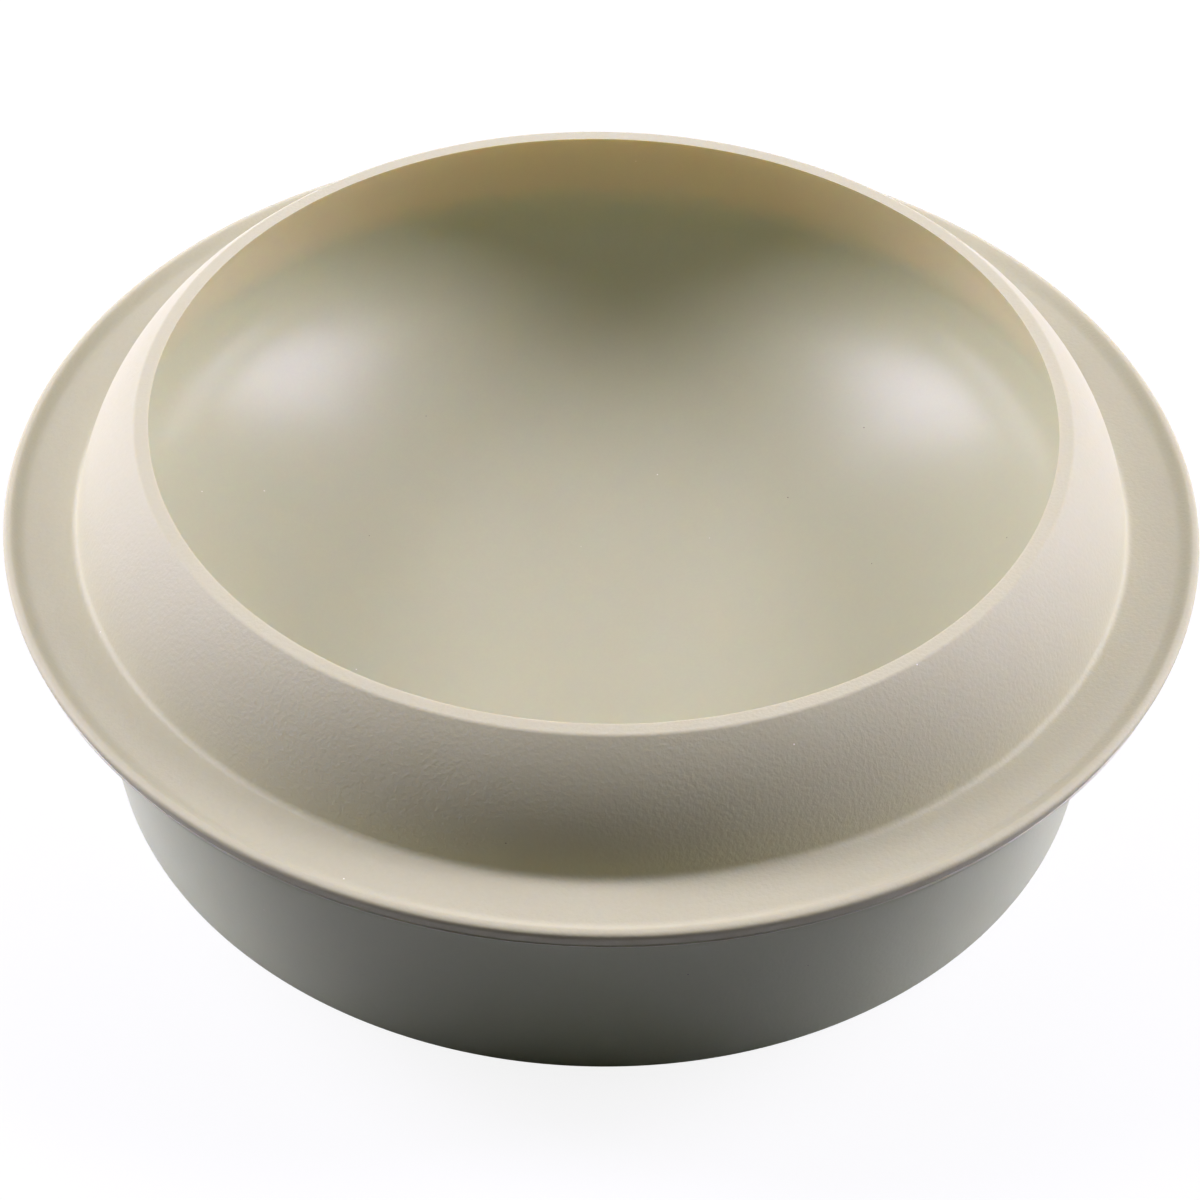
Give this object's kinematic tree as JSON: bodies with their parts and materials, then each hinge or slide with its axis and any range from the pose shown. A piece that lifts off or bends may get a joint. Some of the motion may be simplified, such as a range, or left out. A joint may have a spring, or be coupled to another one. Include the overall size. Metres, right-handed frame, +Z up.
{
  "type": "cake mould",
  "caption": "Round undercut silicone cake mould with a drop-shaped cavity, inward-leaning collar and beaded flange, resting on a ring-shaped stand that it lifts off.",
  "frame": {"origin": "on the table, at the centre of the stand's foot ring, on the axis that both pieces are turned about", "axes": "+Z up along that axis, towards the opening; both pieces are round, so X and Y are alike"},
  "size_m": [0.21, 0.21, 0.07],
  "materials": {
    "mould_silicone": "matte fine-grained greige silicone, satin inside the cavity",
    "stand_silicone": "satin greige silicone"
  },
  "bodies": {
    "stand": {"support_stand": "stand_silicone"},
    "mould": {"drop_mould": "mould_silicone"}
  },
  "joints": [
    {"name": "mould_lift", "type": "slide", "parent": "stand", "child": "mould", "axis": [0, 0, 1], "range_m": [0, 0.06]}
  ]
}
